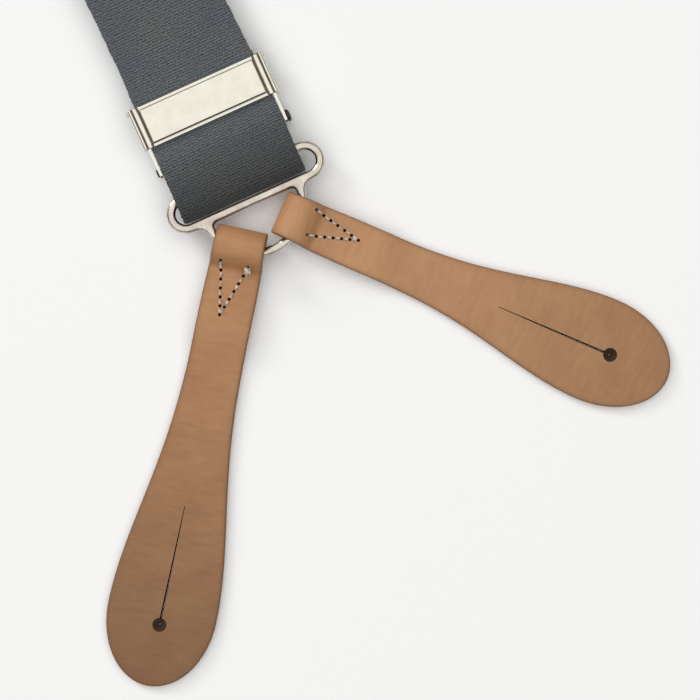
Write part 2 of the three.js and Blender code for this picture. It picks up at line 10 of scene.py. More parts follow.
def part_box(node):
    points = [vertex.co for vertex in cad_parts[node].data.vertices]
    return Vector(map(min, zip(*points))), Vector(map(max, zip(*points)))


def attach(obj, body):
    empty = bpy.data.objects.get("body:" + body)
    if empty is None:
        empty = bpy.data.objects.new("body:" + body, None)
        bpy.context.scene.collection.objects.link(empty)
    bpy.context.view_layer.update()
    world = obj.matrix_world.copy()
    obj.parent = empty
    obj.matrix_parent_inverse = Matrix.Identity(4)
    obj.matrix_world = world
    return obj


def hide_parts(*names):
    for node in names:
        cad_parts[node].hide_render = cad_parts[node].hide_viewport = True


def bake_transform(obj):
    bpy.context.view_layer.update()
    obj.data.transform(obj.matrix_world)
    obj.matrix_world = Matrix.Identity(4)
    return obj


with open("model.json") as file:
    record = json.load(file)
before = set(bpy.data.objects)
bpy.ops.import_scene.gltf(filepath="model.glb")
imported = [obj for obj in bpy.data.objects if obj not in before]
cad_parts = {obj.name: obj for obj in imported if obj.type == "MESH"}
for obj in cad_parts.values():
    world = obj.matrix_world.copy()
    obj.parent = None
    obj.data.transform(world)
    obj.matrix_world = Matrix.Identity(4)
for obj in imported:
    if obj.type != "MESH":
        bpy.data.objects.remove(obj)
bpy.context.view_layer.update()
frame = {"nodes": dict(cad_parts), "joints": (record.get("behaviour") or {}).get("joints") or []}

MM = 0.001
JOINTS = {joint["name"]: joint for joint in frame["joints"]}
SEED = 7

# ---- Sizes of the real pieces, in millimetres ------------------------------------------------

STRAP_WIDTH = 38.0
STRAP_THICKNESS = 1.4
FRONT_STRAP = 690.0
BACK_STRAP = 165.0
LEATHER = 2.2
WIRE = 2.7
BAR_SPACING = 8.7
GAP = 0.3  # between pieces that touch
CROSSBAR = 18.5
HEM_SEAM = 12.6
SEAM_REACH = 16.0  # half the length of a seam across a strap
CROSSBAR_HEIGHT = 2.9
BAR_LOOP = 1.5  # inner radius of the webbing round the crossbar
PLATE_START = 25.3
PLATE_DEPTH = 12.4
PLATE_SHEET = 0.7
LEVER_SHEET = 0.8
ADJUSTER_TRAVEL = 100.0
ADJUSTER_DIP = 1.25  # the strap lies this much lower in the adjuster than over the ring
RIVET_PLACE = PLATE_START + PLATE_DEPTH - 0.6
PANEL_WIDTH = 35.6
PANEL_DEPTH = 10.2
YOKE_REACH = 36.0
YOKE_TOP = 44.0
YOKE_MARGIN = 3.0
YOKE_END_SPACE = 4.7  # from the middle line to a front strap's cut end
YOKE_LEVEL = 3.0  # height of the webbing between the two leathers
SEAM_INSET = 3.2
HEAD_ROUND = 21.7
HOLE_FROM_TIP = 18.0
HOLE_RADIUS = 2.05
SLIT_LENGTH = 35.0

# length, width of the loop, neck and head, and the V's two open ends and its point, [across, along]
LONG_TAB = dict(length=135, loop=14.6, neck=15.8, head=31.8, v=([-3.6, 11.0], [4.4, 10.6], [1.6, 25.8]))
SHORT_TAB = dict(length=122, loop=12.8, neck=14.0, head=30.8, v=([-4.6, 9.9], [3.0, 10.3], [-1.5, 24.2]))


# ---- Frames of the straps' ends and of the tabs ----------------------------------------------

def axes_at(across, place):
    """A frame with x across, z up and y along, whose origin is a place on the surface."""
    x = Vector(across).normalized()
    z = Vector((0, 0, 1))
    y = z.cross(x)
    turn = Matrix((x, y, z)).transposed().to_4x4()
    return Matrix.Translation(place) @ turn


def strap_frame(joint, along):
    """The frame of a strap's end, from a joint whose pivot lies this far along the strap."""
    pivot = Vector(JOINTS[joint]["pos_m"])
    across = -Vector(JOINTS[joint]["axis"])
    turned = axes_at(across, (pivot.x, pivot.y, 0))
    return turned @ Matrix.Translation((0, -along * MM, 0))


def tab_frame(name):
    """The frame of a leather tab: y = 0 at its fold, and the fold's radius is the pivot's height."""
    pivot = Vector(JOINTS[f"{name}_tab_swing"]["pos_m"])
    turned = axes_at(JOINTS[f"{name}_tab_swing"]["axis"], (pivot.x, pivot.y, 0))
    return turned @ Matrix.Translation((0, -pivot.z, 0)), pivot.z / MM


FRAMES = {
    "right": strap_frame("right_plate_opening", RIVET_PLACE),
    "left": strap_frame("left_plate_opening", RIVET_PLACE),
    "back": strap_frame("back_ring_tilt", BAR_SPACING),
}
YOKE_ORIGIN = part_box("yoke_front")[1][1] - YOKE_TOP * MM
YOKE_STRAP_END = [STRAP_WIDTH / 2 * (FRAMES["right"].to_3x3() @ Vector((1, 0, 0))).x + YOKE_END_SPACE, 0.0]
RING_HEIGHT = JOINTS["right_ring_tilt"]["pos_m"][2] / MM
HALF_WEB = STRAP_THICKNESS / 2
FRONT_LAYER = RING_HEIGHT + WIRE / 2 + GAP + HALF_WEB
TURN_RADIUS = (FRONT_LAYER - HALF_WEB) / 2
TURN_CENTRE = WIRE / 2 + GAP + TURN_RADIUS + HALF_WEB
SLIDE_LEVEL = FRONT_LAYER - ADJUSTER_DIP
PLATE_UNDER = SLIDE_LEVEL + HALF_WEB + GAP
HEM_LEVEL = STRAP_THICKNESS * 1.5 + GAP  # middle of the upper of two layers
SEW_LEVEL = STRAP_THICKNESS * 2 + GAP  # top of the upper layer


# ---- Lines -----------------------------------------------------------------------------------

def arc(centre, radius, start, end, steps):
    angles = np.radians(np.linspace(start, end, steps + 1))
    return np.column_stack([centre[0] + radius * np.cos(angles), centre[1] + radius * np.sin(angles)])


def ease(start, end, steps=14):
    part = np.linspace(0, 1, steps + 1)
    smooth = (1 - np.cos(np.pi * part)) / 2
    start, end = np.array(start, float), np.array(end, float)
    return np.column_stack([start[0] + (end[0] - start[0]) * part, start[1] + (end[1] - start[1]) * smooth])


def even(line, step, soften=0):
    """The line with points at an even step, its corners softened by averaging neighbours."""
    line = np.array(line, float)
    keep = np.r_[True, np.linalg.norm(np.diff(line, axis=0), axis=1) > 1e-6]
    line = line[keep]
    along = np.r_[0, np.cumsum(np.linalg.norm(np.diff(line, axis=0), axis=1))]
    places = np.linspace(0, along[-1], max(int(along[-1] / step), 2) + 1)
    line = np.column_stack([np.interp(places, along, line[:, k]) for k in range(line.shape[1])])
    for _ in range(soften):
        line[1:-1] = (line[:-2] + 2 * line[1:-1] + line[2:]) / 4
    return line


def normals_of(line):
    """Unit normals to the left of a line in its own plane."""
    run = np.gradient(line, axis=0)
    run /= np.linalg.norm(run, axis=1)[:, None]
    return np.column_stack([-run[:, 1], run[:, 0]])


def soft_step(value, edge, width):
    part = np.clip((value - edge) / width + 0.5, 0, 1)
    return part * part * (3 - 2 * part)


def lengths_along(line):
    return np.r_[0, np.cumsum(np.linalg.norm(np.diff(line, axis=0), axis=1))]


# ---- Meshes ----------------------------------------------------------------------------------

def make_object(name, verts, faces, matrix=None, smooth=True):
    mesh = bpy.data.meshes.new(name)
    mesh.from_pydata([tuple(v) for v in verts], [], [tuple(f) for f in faces])
    mesh.validate()
    if matrix is not None:
        mesh.transform(Matrix(matrix) @ Matrix.Scale(MM, 4))
    obj = bpy.data.objects.new(name, mesh)
    bpy.context.scene.collection.objects.link(obj)
    mesh.polygons.foreach_set("use_smooth", [smooth] * len(mesh.polygons))
    return obj


def loft(rows):
    """Vertices and faces of a closed skin through equal rings of points, with its ends filled."""
    count, size = len(rows), len(rows[0])
    verts = np.concatenate(rows)
    faces = []
    for i in range(count - 1):
        for k in range(size):
            n = (k + 1) % size
            faces.append((i * size + k, i * size + n, (i + 1) * size + n, (i + 1) * size + k))
    faces.append(tuple(range(size))[::-1])
    faces.append(tuple((count - 1) * size + k for k in range(size)))
    return verts, faces


def face_outwards(obj):
    bm = bmesh.new()
    bm.from_mesh(obj.data)
    bmesh.ops.recalc_face_normals(bm, faces=bm.faces)
    bm.to_mesh(obj.data)
    bm.free()


def set_uv(obj, uv):
    """Gives each vertex's own place on the flat piece, in metres, as the mesh's UV map."""
    layer = obj.data.uv_layers.new(name="Flat")
    loops = np.empty(len(obj.data.loops), int)
    obj.data.loops.foreach_get("vertex_index", loops)
    layer.data.foreach_set("uv", (np.asarray(uv)[loops] * MM).astype(np.float32).ravel())


def set_share(obj, name, values):
    layer = obj.data.attributes.new(name, "FLOAT", "POINT")
    layer.data.foreach_set("value", np.asarray(values, np.float32))


def apply_modifiers(obj):
    graph = bpy.context.evaluated_depsgraph_get()
    mesh = bpy.data.meshes.new_from_object(obj.evaluated_get(graph))
    obj.modifiers.clear()
    obj.data = mesh
    return obj


# ---- Materials -------------------------------------------------------------------------------

def linear(code):
    """An sRGB hex colour as linear red, green, blue and alpha."""
    parts = [int(code[i:i + 2], 16) / 255 for i in (1, 3, 5)]
    return [p / 12.92 if p <= 0.04045 else ((p + 0.055) / 1.055) ** 2.4 for p in parts] + [1.0]


def add(tree, kind, inputs=(), **settings):
    """A node with its settings, whose inputs are values or other nodes' outputs."""
    made = tree.nodes.new(kind)
    for key, value in settings.items():
        setattr(made, key, value)
    for key, value in dict(inputs).items():
        if isinstance(value, bpy.types.NodeSocket):
            tree.links.new(value, made.inputs[key])
        else:
            made.inputs[key].default_value = value
    return made


def new_material(name, **values):
    """A material whose shader has these values on its own sockets."""
    made = bpy.data.materials.new(name)
    made.use_nodes = True
    tree = made.node_tree
    shader = tree.nodes["Principled BSDF"]
    for key, value in values.items():
        shader.inputs[key.replace("_", " ")].default_value = value
    return made, tree, shader


def ramp(tree, factor, *stops):
    made = add(tree, "ShaderNodeValToRGB", {"Fac": factor})
    while len(made.color_ramp.elements) < len(stops):
        made.color_ramp.elements.new(0.5)
    for element, (place, colour) in zip(made.color_ramp.elements, stops):
        element.position = place
        element.color = colour
    return made.outputs["Color"]


def multiply(tree, colour, tint):
    made = add(tree, "ShaderNodeMix", {0: 1.0, 6: colour, 7: tint}, data_type="RGBA", blend_type="MULTIPLY")
    return made.outputs[2]


def toward_rim(tree, colour, rim_colour):
    """The colour, turning to another one where the mesh's rim share is high."""
    rim = add(tree, "ShaderNodeAttribute", attribute_name="rim").outputs["Fac"]
    made = add(tree, "ShaderNodeMix", {0: rim, 6: colour, 7: linear(rim_colour)}, data_type="RGBA")
    return made.outputs[2]


def webbing_material(name, thread_dark, thread_light):
    """Woven elastic: crepe-like grains in cross rows over covered rubber, matt and slightly fuzzy."""
    made, tree, shader = new_material(name, Roughness=0.95, Sheen_Weight=0.12, Sheen_Roughness=0.5)
    row_pitch = 0.8 * MM  # between the cross rows
    grain_pitch = 0.64 * MM  # between warp threads, drawn coarser so that they show
    flat = add(tree, "ShaderNodeUVMap", uv_map="Flat")
    parts = add(tree, "ShaderNodeSeparateXYZ", {"Vector": flat.outputs["UV"]})
    waver = add(tree, "ShaderNodeTexNoise", {"Vector": flat.outputs["UV"], "Scale": 700, "Detail": 2})
    rows = add(tree, "ShaderNodeMath", {0: parts.outputs["Y"], 1: row_pitch}, operation="DIVIDE")
    rows = add(tree, "ShaderNodeMath", {0: rows.outputs[0], 1: waver.outputs["Fac"]}, operation="ADD")
    row = add(tree, "ShaderNodeMath", {0: rows.outputs[0]}, operation="FLOOR")
    row_turn = add(tree, "ShaderNodeMath", {0: rows.outputs[0], 1: math.pi}, operation="MULTIPLY")
    row_height = add(tree, "ShaderNodeMath", {0: row_turn.outputs[0]}, operation="SINE")
    row_height = add(tree, "ShaderNodeMath", {0: row_height.outputs[0]}, operation="ABSOLUTE")
    columns = add(tree, "ShaderNodeMath", {0: parts.outputs["X"], 1: grain_pitch}, operation="DIVIDE")
    stagger = add(tree, "ShaderNodeMath", {0: row.outputs[0], 1: 0.37}, operation="MULTIPLY")
    columns = add(tree, "ShaderNodeMath", {0: columns.outputs[0], 1: stagger.outputs[0]}, operation="ADD")
    columns = add(tree, "ShaderNodeMath", {0: columns.outputs[0], 1: waver.outputs["Fac"]}, operation="ADD")
    column_turn = add(tree, "ShaderNodeMath", {0: columns.outputs[0], 1: math.pi}, operation="MULTIPLY")
    grain_height = add(tree, "ShaderNodeMath", {0: column_turn.outputs[0]}, operation="SINE")
    grain_height = add(tree, "ShaderNodeMath", {0: grain_height.outputs[0]}, operation="ABSOLUTE")
    woven = add(tree, "ShaderNodeMix", {0: 0.5, 2: row_height.outputs[0], 3: grain_height.outputs[0]})
    fibre = add(tree, "ShaderNodeTexNoise", {"Vector": flat.outputs["UV"], "Scale": 1900, "Detail": 3})
    weave = add(tree, "ShaderNodeMix", {0: 0.58, 2: woven.outputs[0], 3: fibre.outputs["Fac"]})
    colour = ramp(tree, weave.outputs[0], (0.36, linear(thread_dark)), (0.68, linear(thread_light)))
    cloud = add(tree, "ShaderNodeTexNoise", {"Vector": flat.outputs["UV"], "Scale": 70, "Detail": 4})
    warm, cool = linear("#f4f3ee"), linear("#e4e8f0")
    cloud_tone = ramp(tree, cloud.outputs["Fac"], (0.35, warm), (0.65, cool))
    # painted shade: the webbing is darker round the turn and for the first 16 mm after it, where it curves
    # away from the light round the ring
    turned = add(tree, "ShaderNodeMapRange", {0: parts.outputs["Y"], 1: 0.0, 2: 16 * MM, 3: 0.0, 4: 1.0})
    turn_shade_colour = linear("#b9b6b0")
    gradual_darkening = ramp(tree, turned.outputs[0], (0.0, turn_shade_colour), (1.0, [1, 1, 1, 1]))
    toned = multiply(tree, colour, cloud_tone)
    with_turn_shade = multiply(tree, toned, gradual_darkening)
    bump = add(tree, "ShaderNodeBump", {"Height": weave.outputs[0], "Strength": 0.9, "Distance": 0.3 * MM})
    tree.links.new(with_turn_shade, shader.inputs["Base Color"])
    tree.links.new(bump.outputs["Normal"], shader.inputs["Normal"])
    return made


def leather_material(name, pale, deep, edge, roughness=0.58, cut_flat=True, head_tint="#c0bcb4"):
    """Vegetable-tanned leather, glazed by hand: pores, faint streaks across, darker cut edges."""
    made, tree, shader = new_material(name, Roughness=roughness, IOR=1.45)
    if cut_flat:
        place = add(tree, "ShaderNodeUVMap", uv_map="Flat").outputs["UV"]
    else:
        place = add(tree, "ShaderNodeTexCoord").outputs["Object"]
    streaks = add(tree, "ShaderNodeMapping", {"Vector": place, "Scale": (0.35, 1.6, 1)})
    mottle = add(tree, "ShaderNodeTexNoise", {"Vector": place, "Scale": 70, "Detail": 5, "Roughness": 0.6})
    streak = add(tree, "ShaderNodeTexNoise", {"Vector": streaks.outputs[0], "Scale": 420, "Detail": 4})
    grain = add(tree, "ShaderNodeTexNoise", {"Vector": place, "Scale": 1800, "Detail": 2})
    tone = add(tree, "ShaderNodeMix", {0: 0.38, 2: mottle.outputs["Fac"], 3: streak.outputs["Fac"]})
    tone = add(tree, "ShaderNodeMix", {0: 0.15, 2: tone.outputs[0], 3: grain.outputs["Fac"]})
    colour = ramp(tree, tone.outputs[0], (0.34, linear(deep)), (0.64, linear(pale)))
    # the leather is darker towards the head
    parts = add(tree, "ShaderNodeSeparateXYZ", {"Vector": place})
    gradual_darkening = add(tree, "ShaderNodeMapRange", {0: parts.outputs["Y"], 1: 45 * MM, 2: 200 * MM})
    darkening = ramp(tree, gradual_darkening.outputs[0], (0.0, [1, 1, 1, 1]), (1.0, linear(head_tint)))
    colour = multiply(tree, colour, darkening)
    edged = toward_rim(tree, colour, edge)
    pores = add(tree, "ShaderNodeTexVoronoi", {"Vector": place, "Scale": 1500})
    relief = add(tree, "ShaderNodeMix", {0: 0.5, 2: pores.outputs["Distance"], 3: grain.outputs["Fac"]})
    bump = add(tree, "ShaderNodeBump", {"Height": relief.outputs[0], "Strength": 0.22, "Distance": 0.1 * MM})
    tree.links.new(edged, shader.inputs["Base Color"])
    tree.links.new(bump.outputs["Normal"], shader.inputs["Normal"])
    return made


def nickel_material(name, colour, roughness, spread, relief):
    """Nickel plate: warm white metal whose gloss varies where it was tumbled or handled."""
    made, tree, shader = new_material(name, Metallic=1.0)
    place = add(tree, "ShaderNodeTexCoord").outputs["Object"]
    cloud = add(tree, "ShaderNodeTexNoise", {"Vector": place, "Scale": 260, "Detail": 4, "Roughness": 0.6})
    pits = add(tree, "ShaderNodeTexNoise", {"Vector": place, "Scale": 1400, "Detail": 3})
    dull, bright = linear(colour[0]), linear(colour[1])
    tone = ramp(tree, cloud.outputs["Fac"], (0.35, dull), (0.65, bright))
    duller = roughness + spread
    gloss_range = {0: cloud.outputs["Fac"], 1: 0.3, 2: 0.7, 3: duller, 4: roughness}
    gloss = add(tree, "ShaderNodeMapRange", gloss_range)
    pitting = {"Height": pits.outputs["Fac"], "Strength": relief, "Distance": 0.08 * MM}
    bump = add(tree, "ShaderNodeBump", pitting)
    # where the rim share is set, on the pressed plate, the colour turns dark brown: grime with painted shade
    # in the flutes, painted shadow along the foot of the raised panel
    grime_and_painted_shade = toward_rim(tree, tone, "#4b4238")
    tree.links.new(grime_and_painted_shade, shader.inputs["Base Color"])
    tree.links.new(gloss.outputs[0], shader.inputs["Roughness"])
    tree.links.new(bump.outputs["Normal"], shader.inputs["Normal"])
    return made


def thread_material(name, pale, deep):
    """Twisted spun thread: matt, with the twist's fine shading and a little soiling."""
    made, tree, shader = new_material(name, Roughness=0.85, Sheen_Weight=0.2)
    place = add(tree, "ShaderNodeTexCoord").outputs["Object"]
    turns = {"Vector": place, "Scale": 260, "Distortion": 2.0}
    twist = add(tree, "ShaderNodeTexWave", turns, bands_direction="DIAGONAL")
    fluff = add(tree, "ShaderNodeTexNoise", {"Vector": place, "Scale": 900, "Detail": 3})
    tone = add(tree, "ShaderNodeMix", {0: 0.5, 2: twist.outputs["Fac"], 3: fluff.outputs["Fac"]})
    colour = ramp(tree, tone.outputs[0], (0.2, linear(deep)), (0.7, linear(pale)))
    bump = add(tree, "ShaderNodeBump", {"Height": tone.outputs[0], "Strength": 0.5, "Distance": 0.1 * MM})
    tree.links.new(colour, shader.inputs["Base Color"])
    tree.links.new(bump.outputs["Normal"], shader.inputs["Normal"])
    return made


def enamel_material(name, colour):
    """Baked black enamel on the crossbar: satin, with faint handling marks."""
    made, tree, shader = new_material(name, IOR=1.5)
    place = add(tree, "ShaderNodeTexCoord").outputs["Object"]
    marks = add(tree, "ShaderNodeTexNoise", {"Vector": place, "Scale": 500, "Detail": 4})
    tone = ramp(tree, marks.outputs["Fac"], (0.3, linear(colour)), (0.8, linear("#2a2a2c")))
    gloss = add(tree, "ShaderNodeMapRange", {0: marks.outputs["Fac"], 3: 0.3, 4: 0.5})
    tree.links.new(tone, shader.inputs["Base Color"])
    tree.links.new(gloss.outputs[0], shader.inputs["Roughness"])
    return made


WEBBING = webbing_material("slate_elastic_webbing", "#1f2224", "#73777a")
LEATHER_GRAIN = leather_material("vegetable_tanned_leather", "#c8976a", "#b4835a", "#80573a")
DARK_LEATHER = leather_material("darkened_tab_leather", "#c29063", "#ac7a52", "#75502f", head_tint="#9a968e")
YOKE_LEATHER = leather_material("yoke_leather", "#c2946b", "#aa7b55", "#8a5f3f", cut_flat=False)
# near-black brown for the walls of holes and slits: the darker cut fibres with painted shade
CUT_CORE_AND_SHADE = leather_material("cut_core_and_painted_shade", "#4a3323", "#2a1c14", "#2a1c14", 0.9, cut_flat=False)
CAST_NICKEL = nickel_material("tumbled_nickel_casting", ("#bdb3a6", "#d8d0c4"), 0.18, 0.12, 0.2)
PRESSED_NICKEL = nickel_material("bright_pressed_nickel", ("#dedacc", "#e4e1d4"), 0.1, 0.03, 0.02)
PALE_THREAD = thread_material("waxed_pale_thread", "#dcd3c6", "#9b9084")
GREY_THREAD = thread_material("dark_grey_thread", "#4a5058", "#24282d")
BLACK_ENAMEL = enamel_material("black_enamel", "#101011")


def finish_piece(obj, body, slot_name, material, *nodes):
    """Gives a finished piece its material, the CAD nodes it stands for and its body; the slot name is not
    used.
    """
    if len(obj.data.materials) == 0:
        obj.data.materials.append(material)
    if nodes:
        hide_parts(*nodes)
    if body:
        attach(obj, body)


def cover(obj, material):
    """Gives every material slot of a CAD piece this finish."""
    if len(obj.material_slots) == 0:
        obj.data.materials.append(material)
    for place in obj.material_slots:
        place.material = material


# ---- Stitches --------------------------------------------------------------------------------

def stitch(start, end, radius, rise, sink=0.7, sides=8, steps=8):
    """One stitch as a small bowed tube that dips into the hole at each end."""
    start, end = np.array(start, float), np.array(end, float)
    run = end - start
    side = np.cross(run, [0, 0, 1.0])
    side /= np.linalg.norm(side)
    up = np.cross(side, run / np.linalg.norm(run))
    rings = []
    for i in range(steps + 1):
        part = i / steps
        height = rise * math.sin(math.pi * part) ** 0.5 - sink * abs(2 * part - 1) ** 5
        centre = start + run * (0.18 + 0.64 * part) + up * height
        plump = radius * (0.82 + 0.18 * math.sin(math.pi * part))
        angles = np.linspace(0, 2 * math.pi, sides, endpoint=False)
        rings.append(centre + plump * (np.outer(np.cos(angles), side) + np.outer(np.sin(angles), up)))
    return loft(rings)


def add_seam(name, rows, matrix, material, radius=0.3, rise=0.16):
    """Rows of stitches between their needle holes, as one piece of thread."""
    verts, faces = join_parts([s for holes in rows for s in stitch_row(holes, radius, rise)])
    obj = make_object(name, verts, faces, matrix)
    face_outwards(obj)
    obj.data.materials.append(material)
    return obj


def join_parts(parts):
    verts, faces, base = [], [], 0
    for part_verts, part_faces in parts:
        verts.append(part_verts)
        faces += [tuple(i + base for i in face) for face in part_faces]
        base += len(part_verts)
    return np.concatenate(verts), faces


def seam_points(line, pitch):
    """Needle holes spaced evenly along a line, in three dimensions."""
    line = np.array(line, float)
    along = lengths_along(line)
    count = max(int(round(along[-1] / pitch)), 1)
    places = np.linspace(0, along[-1], count + 1)
    return np.column_stack([np.interp(places, along, line[:, k]) for k in range(3)])


def stitch_row(holes, radius, rise):
    return [stitch(a, b, radius, rise) for a, b in zip(holes[:-1], holes[1:])]


# ---- Webbing ---------------------------------------------------------------------------------

def strap_section():
    """Across a strap: [across, up] round its section, with a round selvedge at each edge."""
    half = STRAP_WIDTH / 2
    across = np.linspace(-half + 0.7, half - 0.7, 23)
    top = np.column_stack([across, np.full(len(across), HALF_WEB)])
    right = arc((half - HALF_WEB, 0), HALF_WEB, 90, -90, 6)[1:-1]
    bottom = top[::-1] * [1, -1]
    left = arc((-half + HALF_WEB, 0), HALF_WEB, 270, 90, 6)[1:-1]
    return np.concatenate([top, right, bottom, left])


def strap(name, line, matrix, start=0.0, sway=None):
    """A band of webbing along a line in y and z; start is the cloth's length before the line.

    sway gives how far the band wanders sideways at each distance along the strap, and its stretch.
    """
    section = strap_section()
    normal = normals_of(line)
    along = lengths_along(line)
    rng = np.random.default_rng(SEED)
    wander = np.convolve(rng.normal(0, 0.22, len(line) + 8), np.ones(9) / 9, "valid")
    edge_of = (section[:, 0] > 0).astype(int)
    across, up = section[:, 0], section[:, 1]
    near_edge = np.clip(np.abs(across) - 17.5, 0, 1.5) / 1.5
    rows, flat = [], []
    for i, (y, z) in enumerate(line):
        shift, stretch = sway(y) if sway else (0, 1)
        x = across * stretch + shift + (wander[i] + rng.normal(0, 0.07, 2)[edge_of]) * near_edge
        rows.append(np.column_stack([x, y + normal[i, 0] * up, z + normal[i, 1] * up]))
        flat.append(np.column_stack([across + STRAP_WIDTH, np.full(len(section), along[i] + start)]))
    verts, faces = loft(rows)
    obj = make_object(name, verts, faces, matrix)
    set_uv(obj, np.concatenate(flat))
    face_outwards(obj)
    return obj


TURN = arc((TURN_CENTRE, HALF_WEB + TURN_RADIUS), TURN_RADIUS, -90, -270, 26)


def front_strap_line():
    level_end = PLATE_START + PLATE_DEPTH + ADJUSTER_TRAVEL
    yoke_edge = FRONT_STRAP - YOKE_REACH
    near = np.concatenate([
        TURN,
        [[CROSSBAR, FRONT_LAYER]],
        ease([CROSSBAR, FRONT_LAYER], [PLATE_START - 1, SLIDE_LEVEL]),
        [[110, SLIDE_LEVEL]],
    ])
    far = np.concatenate([
        [[110, SLIDE_LEVEL], [level_end, SLIDE_LEVEL]],
        ease([level_end, SLIDE_LEVEL], [level_end + 65, HALF_WEB]),
        [[yoke_edge - 20, HALF_WEB]],
        ease([yoke_edge - 20, HALF_WEB], [yoke_edge - 2, YOKE_LEVEL]),
        [[FRONT_STRAP, YOKE_LEVEL]],
    ])
    return np.concatenate([even(near, 0.5, 3), even(far, 2.5, 2)[1:]])


def rear_leg_line():
    round_bar = arc((CROSSBAR, CROSSBAR_HEIGHT), BAR_LOOP + HALF_WEB, -90, 90, 16)
    line = np.concatenate([
        [[TURN_CENTRE, HALF_WEB]],
        round_bar,
        ease([CROSSBAR - 0.5, CROSSBAR_HEIGHT + BAR_LOOP + HALF_WEB], [14.0, HEM_LEVEL], 10),
        [[11.2, HEM_LEVEL]],
    ])
    return even(line, 0.4, 2)


def back_strap_line():
    yoke_edge = BACK_STRAP - YOKE_TOP
    line = np.concatenate([
        [[40, HALF_WEB]],
        TURN,
        ease([TURN_CENTRE + 4.5, FRONT_LAYER], [19, HEM_LEVEL]),
        [[44, HEM_LEVEL]],
        ease([44, HEM_LEVEL], [58, HALF_WEB]),
        [[yoke_edge - 8, HALF_WEB]],
        ease([yoke_edge - 8, HALF_WEB], [yoke_edge + 8, YOKE_LEVEL]),
        [[BACK_STRAP, YOKE_LEVEL]],
    ])
    return even(line, 0.8, 3)


def front_sway(half):
    """Past the adjuster the worn elastic is stretched narrower and leans a little to one side."""
    def sway(y):
        past = float(soft_step(y, 62, 50) * (1 - soft_step(y, 170, 120)))
        return -half * 0.7 * past, 1 - 0.038 * float(soft_step(y, 40, 22))
    return sway


def add_front_strap(side):
    sway = front_sway(1 if side == "right" else -1)
    turn_length = math.pi * TURN_RADIUS
    line = front_strap_line()
    main = strap(f"{side}_strap_webbing", line, FRAMES[side], start=-turn_length, sway=sway)
    finish_piece(main, "straps", "webbing", WEBBING, f"{side}_front_strap")
    leg_line = rear_leg_line()
    at = FRAMES[side]
    leg = strap(f"{side}_strap_sewn_end", leg_line, at, start=60)
    finish_piece(leg, None, "webbing", WEBBING, f"{side}_front_strap")
    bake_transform(leg)
    across = [[-SEAM_REACH, HEM_SEAM, SEW_LEVEL], [SEAM_REACH, HEM_SEAM, SEW_LEVEL]]
    seam = add_seam(f"{side}_hem_stitches", [seam_points(across, 2.4)], at, GREY_THREAD)
    finish_piece(seam, None, "strap_thread", GREY_THREAD, f"{side}_strap_end_stitching")
    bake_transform(seam)


def add_back_strap():
    line = back_strap_line()
    main = strap("back_strap_webbing", line, FRAMES["back"], start=STRAP_WIDTH)
    finish_piece(main, "straps", "webbing", WEBBING, "back_strap")
    near, far = 22, 36
    round_box = [(-1, near), (1, near), (1, far), (-1, far), (-1, near)]
    corners = [[side * SEAM_REACH, along, SEW_LEVEL] for side, along in round_box]
    sides = [seam_points(corners[i:i + 2], 2.4) for i in range(4)]
    seam = add_seam("back_strap_box_stitches", sides, FRAMES["back"], GREY_THREAD)
    finish_piece(seam, "straps", "strap_thread", GREY_THREAD, "back_strap_stitching")


# ---- Yoke ------------------------------------------------------------------------------------

def inset_outline(points, distance):
    """A closed outline moved inwards, its corners kept."""
    points = np.array(points, float)
    ahead = np.roll(points, -1, axis=0) - points
    ahead /= np.linalg.norm(ahead, axis=1)[:, None]
    inward = np.column_stack([-ahead[:, 1], ahead[:, 0]])
    before = np.roll(inward, 1, axis=0)
    bisector = inward + before
    return points + distance * bisector / (0.5 * (bisector ** 2).sum(1))[:, None]


def round_corners(points, radius):
    rounded = []
    for i, here in enumerate(points):
        back, ahead = points[i - 1] - here, points[(i + 1) % len(points)] - here
        reach = min(radius, np.linalg.norm(back) / 2.2, np.linalg.norm(ahead) / 2.2)
        start = here + back / np.linalg.norm(back) * reach
        end = here + ahead / np.linalg.norm(ahead) * reach
        for part in np.linspace(0, 1, 7):
            rounded.append((1 - part) ** 2 * start + 2 * part * (1 - part) * here + part ** 2 * end)
    return np.array(rounded)


def yoke_seam(inset):
    """The seam's line round the yoke, in its own frame, from the straps' spread and meeting place."""
    along = -(FRAMES["right"].to_3x3() @ Vector((0, 1, 0))).xy
    across = (FRAMES["right"].to_3x3() @ Vector((1, 0, 0))).xy
    end = np.array(YOKE_STRAP_END)
    reach = STRAP_WIDTH / 2 + YOKE_MARGIN
    lows = [end + YOKE_REACH * np.array(along) + side * reach * np.array(across) for side in (-1, 1)]
    half = [lows[0], lows[1], np.array([reach, YOKE_TOP * 0.45]), np.array([reach, YOKE_TOP])]
    outline = [np.array([0, -YOKE_REACH * 0.62]), *half, *[p * [-1, 1] for p in reversed(half)]]
    return round_corners(inset_outline(outline, inset), 5 - inset / 2)


def soften_cad(node, name, voxel, iterations):
    """A leather piece cut to the CAD's outline, with burnished, rounded edges."""
    obj = bpy.data.objects.new(name, frame["nodes"][node].data.copy())
    bpy.context.scene.collection.objects.link(obj)
    obj.matrix_world = frame["nodes"][node].matrix_world
    obj.data.materials.clear()
    skin = obj.modifiers.new("skin", "REMESH")
    skin.mode = "VOXEL"
    skin.voxel_size = voxel * MM
    skin.use_smooth_shade = True
    burnish = obj.modifiers.new("burnish", "SMOOTH")
    burnish.iterations = iterations
    apply_modifiers(obj)
    return obj


